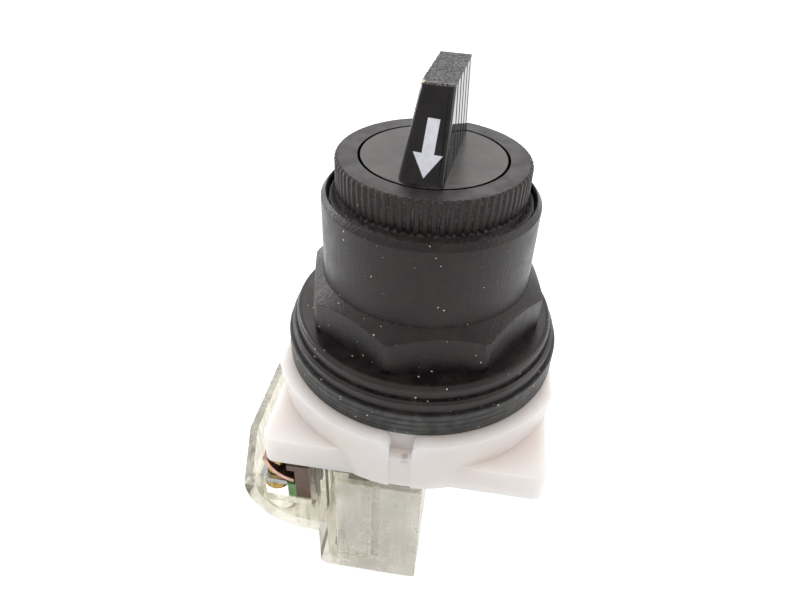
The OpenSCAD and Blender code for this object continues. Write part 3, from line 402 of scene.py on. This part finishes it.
def gasket_rubber():
    """Black moulded rubber: dull, with fine rings round its edge and lint that clings to it."""
    material, tree, shader = start_material("black_moulded_rubber")
    place = place_in(tree)
    ground = paint("rubber")
    bloom = band(tree, grain(tree, place, size_mm=1.6, detail=4), 0.4, 0.75)
    base = blend_colours(tree, bloom, ground, scaled(ground, 2.6, lift=0.004))
    specks = dust_mask(tree, place, amount=0.25)
    around = round_place(tree, place)
    drawn = grain(tree, around, size_mm=0.3, detail=3, rough=0.7, stretch=(0.15, 1, 1))
    pores = grain(tree, place, size_mm=0.3, detail=3, rough=0.7)
    skin = {
        "Base Color": blend_colours(tree, specks, base, paint("dust")),
        "Roughness": band(tree, drawn, 0.3, 0.7, 0.34, 0.55),
        "IOR": 1.5,
        "Normal": bump(tree, calc(tree, "ADD", drawn, pores), depth_mm=0.05),
    }
    connect(tree, shader, skin)
    return material


def milky_nylon():
    """Natural nylon, moulded: milky, so light bleeds into it and its inner edges show softly."""
    material, tree, shader = start_material("natural_nylon")
    place = place_in(tree)
    ground = paint("base")
    warm = tinted(ground, (0.98, 0.96, 0.92))
    cloud = band(tree, grain(tree, place, size_mm=9, detail=3), 0.35, 0.7)
    skin = {
        "Base Color": blend_colours(tree, cloud, ground, warm),
        "Roughness": 0.42,
        "IOR": 1.53,
        "Subsurface Weight": 1,
        "Subsurface Radius": (1.0, 0.95, 0.88),
        "Subsurface Scale": 8 * MM,
        "Normal": bump(tree, grain(tree, place, size_mm=1.4), depth_mm=0.03),
    }
    connect(tree, shader, skin)
    return material


def clear_housing(name, clearness, rough, ior):
    """Polycarbonate, moulded, with a faint warm tint, and with clouds and upright flow lines that
    fade towards +X: the clearer it is, the less light its skin scatters."""
    material, tree, shader = start_material(name)
    place = place_in(tree)
    ground = paint("clear")
    olive = tinted(ground, (0.6, 0.61, 0.52))
    clouds = band(tree, grain(tree, place, size_mm=5), 0.4, 0.75)
    lines = band(tree, grain(tree, place, size_mm=1.1, rough=0.6, stretch=UPRIGHT), 0.45, 0.7)
    low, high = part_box("block_housing")
    fade = band(tree, split(tree, place)["X"], low.x, high.x, 1, 0.3)
    tint = calc(tree, "MULTIPLY", calc(tree, "MAXIMUM", clouds, lines), fade)
    patches = grain(tree, place, size_mm=2.5, detail=3)
    skin = {
        "Base Color": blend_colours(tree, tint, ground, olive),
        "Roughness": band(tree, patches, 0.3, 0.7, rough * 0.8, rough * 1.25),
        "IOR": ior,
        "Transmission Weight": clearness,
        "Normal": bump(tree, grain(tree, place, size_mm=3, detail=1), depth_mm=0.04),
    }
    connect(tree, shader, skin)
    return material


def phenolic(name, paint_name, rough=0.45):
    """Filled moulding compound: flecks of filler in a darker ground, with a satin skin."""
    material, tree, shader = start_material(name)
    place = place_in(tree)
    ground = paint(paint_name)
    flecks = band(tree, grain(tree, place, size_mm=0.45, detail=4, rough=0.7), 0.45, 0.7)
    skin = {
        "Base Color": blend_colours(tree, flecks, ground, scaled(ground, 1.5)),
        "Roughness": rough,
        "Normal": bump(tree, grain(tree, place, size_mm=0.3, detail=3), depth_mm=0.01),
    }
    connect(tree, shader, skin)
    return material


def waxy_acetal():
    """Acetal, moulded: opaque off-white with a waxy sheen and a soft edge to its shadows."""
    material, tree, shader = start_material("moulded_acetal")
    place = place_in(tree)
    ground = paint("acetal")
    patches = grain(tree, place, size_mm=2.5)
    skin = {
        "Base Color": blend_colours(tree, patches, ground, scaled(ground, 0.92)),
        "Roughness": 0.35,
        "Subsurface Weight": 0.25,
        "Subsurface Scale": 0.6 * MM,
        "Normal": bump(tree, grain(tree, place, size_mm=0.5), depth_mm=0.006),
    }
    connect(tree, shader, skin)
    return material


def metal(name, paint_name, rough, line_mm, stretch, tarnish):
    """Metal with fine working lines along one direction and a patchy tarnish."""
    material, tree, shader = start_material(name)
    place = place_in(tree)
    ground = paint(paint_name)
    patches = band(tree, grain(tree, place, size_mm=1.2, detail=4), 0.35, 0.7)
    lines = grain(tree, place, line_mm, rough=0.6, stretch=stretch)
    skin = {
        "Base Color": blend_colours(tree, patches, ground, scaled(ground, 1 - tarnish)),
        "Metallic": 1,
        "Roughness": band(tree, lines, 0.2, 0.8, rough - 0.06, rough + 0.1),
        "Normal": bump(tree, lines, depth_mm=0.006),
    }
    connect(tree, shader, skin)
    return material


def dress(node, material):
    """Gives a CAD node its material."""
    mesh = NODES[node].data
    mesh.materials.clear()
    mesh.materials.append(material)


def carry(obj, node):
    """Makes a piece move with a CAD node's body."""
    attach(obj, BODY_OF[node])


def add_object(name, data):
    """A new object in the scene."""
    obj = bpy.data.objects.new(name, data)
    bpy.context.scene.collection.objects.link(obj)
    return obj


def mesh_object(name, form, material):
    """A new object from a finished form, which is freed, and its material."""
    mesh = bpy.data.meshes.new(name)
    form.to_mesh(mesh)
    form.free()
    mesh.materials.append(material)
    return add_object(name, mesh)


def shade(mesh, angle):
    """Shades a mesh smooth up to an angle between its faces, in degrees."""
    for face in mesh.polygons:
        face.use_smooth = True
    mesh.set_sharp_from_angle(angle=math.radians(angle))


def weld(form):
    """Joins the corners of a mesh that meet."""
    bmesh.ops.remove_doubles(form, verts=form.verts, dist=WELD)


def round_off(form, is_chosen, radius, segments):
    """Rounds the chosen edges among those that lie between two faces."""
    chosen = [edge for edge in form.edges if len(edge.link_faces) == 2 and is_chosen(edge)]
    bmesh.ops.bevel(
        form,
        geom=chosen,
        offset=radius,
        segments=segments,
        profile=0.5,
        affect="EDGES",
        clamp_overlap=True,
    )
    weld(form)


def ease_edges(node, radius, material, segments=2, limit=28, cuts=(), broad=None):
    """A copy of a CAD node, shown in its place, whose edges sharper than the limit are rounded.

    The limit is in degrees. The cuts are planes that faces must not cross. Broad is a test for
    edges that get a wider rounding first, and its radius.
    """
    name = node + "_eased"
    form = bmesh.new()
    form.from_mesh(NODES[node].data)
    weld(form)
    bmesh.ops.dissolve_limit(form, angle_limit=FLAT, verts=form.verts, edges=form.edges)
    if broad:
        round_off(form, broad[0], broad[1], segments=5)
    sharp = math.radians(limit)
    round_off(form, lambda edge: edge.calc_face_angle() > sharp, radius, segments)
    for spot, across in cuts:
        whole = form.verts[:] + form.edges[:] + form.faces[:]
        bmesh.ops.bisect_plane(form, geom=whole, plane_co=spot, plane_no=across)
    bmesh.ops.triangulate(form, faces=[face for face in form.faces if len(face.verts) > 4])
    obj = mesh_object(name, form, material)
    shade(obj.data, 35)
    level = obj.modifiers.new("flat faces stay flat", "WEIGHTED_NORMAL")
    level.keep_sharp = True
    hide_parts(node)
    carry(obj, node)
    return obj


def thread(form, axis, core, start, end):
    """Adds a helical ridge with closed ends round a vertical shank of radius core."""
    per_turn = 20
    foot = 0.45 * sizes().thread_pitch
    sunk = core - 0.03 * MM
    steps = int((end - start) / sizes().thread_pitch * per_turn)
    rows = []
    for i in range(steps + 1):
        angle = 2 * math.pi * i / per_turn
        centre = axis + Vector((0, 0, start + (end - start) * i / steps))
        across = Vector((math.cos(angle), math.sin(angle), 0))
        fade = min(1, i / per_turn, (steps - i) / per_turn)
        crest = core + sizes().thread_depth * fade
        points = ((sunk, -foot), (crest, 0), (sunk, foot))
        row = [centre + across * reach + Vector((0, 0, lift)) for reach, lift in points]
        rows.append([form.verts.new(point) for point in row])
    for one, two in zip(rows, rows[1:]):
        for j in range(3):
            k = (j + 1) % 3
            form.faces.new((one[j], one[k], two[k], two[j]))
    form.faces.new(rows[0][::-1])
    form.faces.new(rows[-1])


class SWITCH_OT_knob(bpy.types.Operator):
    """Dresses the knob and its arrow"""

    bl_idname = "switch.knob"
    bl_label = "Knob and arrow"

    def execute(self, context):
        broad = (self.beside_pointer, sizes().pointer_edge)
        ease_edges("selector_knob", sizes().knob_edge, glossy_knob(), broad=broad)
        dress("pointer_arrow", arrow_filling())
        return {"FINISHED"}

    @staticmethod
    def beside_pointer(edge):
        """Tells the pointer face's two long edges, between a face that slopes to the front and a
        side."""
        shortest = 5 * MM
        normals = [face.normal for face in edge.link_faces]
        fronts = sum(normal.y < -0.8 and 0.3 < normal.z < 0.7 for normal in normals)
        sides = sum(abs(normal.x) > 0.8 for normal in normals)
        return fronts == 1 and sides == 1 and edge.calc_length() > shortest


class SWITCH_OT_ring(bpy.types.Operator):
    """Dresses the knurled ring"""

    bl_idname = "switch.ring"
    bl_label = "Knurled ring"

    def execute(self, context):
        satin = black_moulding(
            "satin_black_thermoset",
            "ring",
            rough=0.42,
            grain_mm=0.28,
            depth_mm=0.02,
            dust=0.04,
            ior=1.39,
        )
        ease_edges("knurled_ring", sizes().ring_edge, satin, segments=1, limit=24)
        return {"FINISHED"}


class SWITCH_OT_nut(bpy.types.Operator):
    """Dresses the ring nut"""

    bl_idname = "switch.nut"
    bl_label = "Ring nut"

    def execute(self, context):
        matt = black_moulding(
            "matt_black_moulding",
            "nut",
            rough=0.34,
            grain_mm=0.28,
            depth_mm=0.08,
            dust=0.16,
            streaks=0.5,
            ior=1.38,
        )
        ease_edges("ring_nut", sizes().nut_edge, matt, limit=20)
        return {"FINISHED"}


class SWITCH_OT_stack(bpy.types.Operator):
    """Dresses the thrust washer, the gaskets and the knob's seal"""

    bl_idname = "switch.stack"
    bl_label = "Washer and gaskets"

    def execute(self, context):
        semi_gloss = black_moulding(
            "black_washer_moulding",
            "washer",
            rough=0.34,
            grain_mm=0.3,
            depth_mm=0.045,
            dust=0.18,
            ior=1.4,
        )
        dress("thrust_washer", semi_gloss)
        rubber = gasket_rubber()
        for node in ("panel_gaskets", "knob_seal"):
            dress(node, rubber)
        return {"FINISHED"}


class SWITCH_OT_base(bpy.types.Operator):
    """Dresses the milky base"""

    bl_idname = "switch.base"
    bl_label = "Milky base"

    def execute(self, context):
        ease_edges("operator_base", sizes().base_edge, milky_nylon(), segments=3)
        return {"FINISHED"}


class SWITCH_OT_inside(bpy.types.Operator):
    """Dresses the rotor, the plungers, the contact carrier and the springs"""

    bl_idname = "switch.inside"
    bl_label = "Rotor, plungers and springs"

    def execute(self, context):
        dress("cam_rotor", phenolic("brown_filled_nylon", "frame"))
        waxy = waxy_acetal()
        for node in ("left_plunger", "right_plunger", "contact_carrier"):
            dress(node, waxy)
        wire = metal(
            "drawn_spring_wire", "steel", rough=0.3, line_mm=0.3, stretch=(1, 1, 0.2), tarnish=0.25
        )
        for node in NODES:
            if "spring" in node:
                dress(node, wire)
        return {"FINISHED"}


class SWITCH_OT_block(bpy.types.Operator):
    """Dresses the contact block's housing, frame and insulator"""

    bl_idname = "switch.block"
    bl_label = "Contact block"

    def execute(self, context):
        clear = clear_housing("clear_polycarbonate", clearness=0.9, rough=0.03, ior=1.12)
        frosted = clear_housing("frosted_polycarbonate", clearness=0.5, rough=0.3, ior=1.25)
        self.house(clear, frosted)
        dress("block_frame", phenolic("brown_phenolic", "frame"))
        dress("terminal_insulator", phenolic("green_melamine", "insulator", rough=0.35))
        return {"FINISHED"}

    def house(self, clear, frosted):
        """Rounds the housing's edges and frosts its tower, beyond the clear column, and the rim of
        its far wall."""
        low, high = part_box("block_housing")
        column = high.x - 14.2 * MM
        rim = high.z - 3.4 * MM
        wall = low.x + 2.6 * MM
        cuts = (
            (Vector((column, 0, 0)), Vector((1, 0, 0))),
            (Vector((0, 0, rim)), Vector((0, 0, 1))),
        )
        obj = ease_edges("block_housing", sizes().block_edge, clear, cuts=cuts)
        obj.data.materials.append(frosted)
        for face in obj.data.polygons:
            on_tower = face.center.x > column and face.center.z < rim
            on_wall_rim = face.center.x < wall and face.normal.z > 0.3
            if on_tower or on_wall_rim:
                face.material_index = 1


class SWITCH_OT_contacts(bpy.types.Operator):
    """Dresses the strips, bridges and tips"""

    bl_idname = "switch.contacts"
    bl_label = "Contacts"

    def execute(self, context):
        strip = metal(
            "rolled_copper_alloy",
            "copper",
            rough=0.28,
            line_mm=0.2,
            stretch=(1, 0.1, 1),
            tarnish=0.35,
        )
        for node in NODES:
            if node.endswith(("_contact", "_bridge")):
                dress(node, strip)
        tips = metal(
            "silver_rivet", "silver", rough=0.25, line_mm=0.2, stretch=(1, 1, 1), tarnish=0.2
        )
        for node in ("moving_tips", "fixed_tips"):
            dress(node, tips)
        return {"FINISHED"}


class SWITCH_OT_terminals(bpy.types.Operator):
    """Dresses the screws, clamps and inserts, and cuts the upper terminal screws' thread"""

    bl_idname = "switch.terminals"
    bl_label = "Screws and terminals"

    def execute(self, context):
        brass = metal(
            "turned_brass", "brass", rough=0.22, line_mm=0.15, stretch=(0.3, 0.3, 1), tarnish=0.3
        )
        plated = metal(
            "zinc_plated_steel", "steel", rough=0.3, line_mm=0.4, stretch=(1, 1, 1), tarnish=0.2
        )
        for node in ("terminal_screws", "threaded_inserts"):
            dress(node, brass)
        for node in ("terminal_clamps", "block_screws", "knob_screw"):
            dress(node, plated)
        self.cut_threads(brass)
        return {"FINISHED"}

    def cut_threads(self, brass):
        """Winds a ridge round the bare part of each upper terminal screw."""
        head_radius = 2.3 * MM
        shank_radius = 1.5 * MM
        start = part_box("terminal_clamps")[1].z + 0.2 * MM
        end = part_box("upper_front_contact")[1].z - 0.5 * MM
        low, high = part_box("terminal_screws")
        form = bmesh.new()
        for y in (low.y + head_radius, high.y - head_radius):
            thread(form, Vector((low.x + head_radius, y, 0)), shank_radius, start, end)
        obj = mesh_object("terminal_screw_threads", form, brass)
        shade(obj.data, 30)
        carry(obj, "terminal_screws")


class SWITCH_OT_stage(bpy.types.Operator):
    """Lays the floor, sets the lamps, the world and the camera"""

    bl_idname = "switch.stage"
    bl_label = "Stage"

    def execute(self, context):
        self.floor()
        self.world()
        for lamp in LAMPS:
            self.lamp(*lamp)
        self.camera()
        return {"FINISHED"}

    def floor(self):
        """A pale floor just under the block, white to the camera where no shadow falls on it."""
        half_side = 1.5
        drop = 0.4 * MM
        paleness = 0.8
        glow_strength = 0.55
        material, tree, shader = start_material("pale_floor")
        matt = {
            "Base Color": (paleness, paleness, paleness, 1),
            "Roughness": 0.9,
            "Specular IOR Level": 0,
        }
        connect(tree, shader, matt)
        glow = put(tree, "ShaderNodeEmission", {"Strength": self.seen(tree, glow_strength)})
        both = put(tree, "ShaderNodeAddShader", {0: shader.outputs[0], 1: glow.outputs[0]})
        connect(tree, tree.nodes["Material Output"], {"Surface": both.outputs[0]})
        form = bmesh.new()
        bmesh.ops.create_grid(form, x_segments=1, y_segments=1, size=half_side)
        obj = mesh_object("floor", form, material)
        obj.location.z = CAD_BOX[0].z - drop

    def seen(self, tree, strength):
        """A strength that only the camera, mirrors and glass see."""
        path = put(tree, "ShaderNodeLightPath").outputs
        shown = path["Is Camera Ray"]
        for name in ("Is Glossy Ray", "Is Transmission Ray"):
            shown = calc(tree, "MAXIMUM", shown, path[name])
        return calc(tree, "MULTIPLY", shown, strength)

    def world(self):
        """White to the camera and a plain soft light to everything else."""
        world = bpy.data.worlds.new("studio")
        bpy.context.scene.world = world
        world.use_nodes = True
        tree = world.node_tree
        tree.nodes.clear()
        strength = calc(tree, "ADD", self.seen(tree, 1 - WORLD_LIGHT), WORLD_LIGHT)
        light = put(tree, "ShaderNodeBackground", {"Color": (1, 1, 1, 1), "Strength": strength})
        put(tree, "ShaderNodeOutputWorld", {"Surface": light.outputs[0]})

    def lamp(self, name, place, side, watts):
        """A square lamp aimed at the knob."""
        light = bpy.data.lights.new(name, "AREA")
        light.size = side
        light.energy = watts
        obj = add_object(name, light)
        obj.location = place
        aim = Vector(LAMP_TARGET) - Vector(place)
        obj.rotation_mode = "QUATERNION"
        obj.rotation_quaternion = aim.to_track_quat("-Z", "Y")

    def camera(self):
        """The photograph's view: from in front, above and a little to the right."""
        view = bpy.data.cameras.new("photo_camera")
        view.sensor_width = SENSOR_MM
        view.lens = LENS_MM
        view.clip_start = 1 * MM
        view.clip_end = 10
        obj = add_object("photo_camera", view)
        turn = (
            Matrix.Rotation(CAMERA_HEADING, 4, "Z")
            @ Matrix.Rotation(math.pi / 2 - CAMERA_TILT, 4, "X")
            @ Matrix.Rotation(CAMERA_ROLL, 4, "Z")
        )
        obj.matrix_world = Matrix.Translation(Vector(CAMERA_PLACE_MM) * MM) @ turn
        bpy.context.scene.camera = obj
        bpy.context.scene.view_settings.view_transform = "Standard"


OPERATORS = (
    SWITCH_OT_knob,
    SWITCH_OT_ring,
    SWITCH_OT_nut,
    SWITCH_OT_stack,
    SWITCH_OT_base,
    SWITCH_OT_inside,
    SWITCH_OT_block,
    SWITCH_OT_contacts,
    SWITCH_OT_terminals,
    SWITCH_OT_stage,
)


class SWITCH_PT_panel(bpy.types.Panel):
    """Lists the switch's operators, sizes and colours"""

    bl_idname = "SWITCH_PT_panel"
    bl_label = "Selector switch"
    bl_space_type = "VIEW_3D"
    bl_region_type = "UI"
    bl_category = "Switch"

    def draw(self, context):
        for group in (context.scene.switch_sizes, context.scene.switch_colours):
            box = self.layout.box()
            for name in group.__annotations__:
                box.prop(group, name)
        for operator in OPERATORS:
            self.layout.operator(operator.bl_idname)


CLASSES = (SwitchSizes, SwitchColours, *OPERATORS, SWITCH_PT_panel)


def register():
    for one in CLASSES:
        bpy.utils.register_class(one)
    bpy.types.Scene.switch_sizes = PointerProperty(type=SwitchSizes)
    bpy.types.Scene.switch_colours = PointerProperty(type=SwitchColours)


def unregister():
    del bpy.types.Scene.switch_colours
    del bpy.types.Scene.switch_sizes
    for one in reversed(CLASSES):
        bpy.utils.unregister_class(one)


def main():
    register()
    for operator in OPERATORS:
        getattr(bpy.ops.switch, operator.bl_idname.split(".")[1])()


if __name__ == "__main__":
    main()
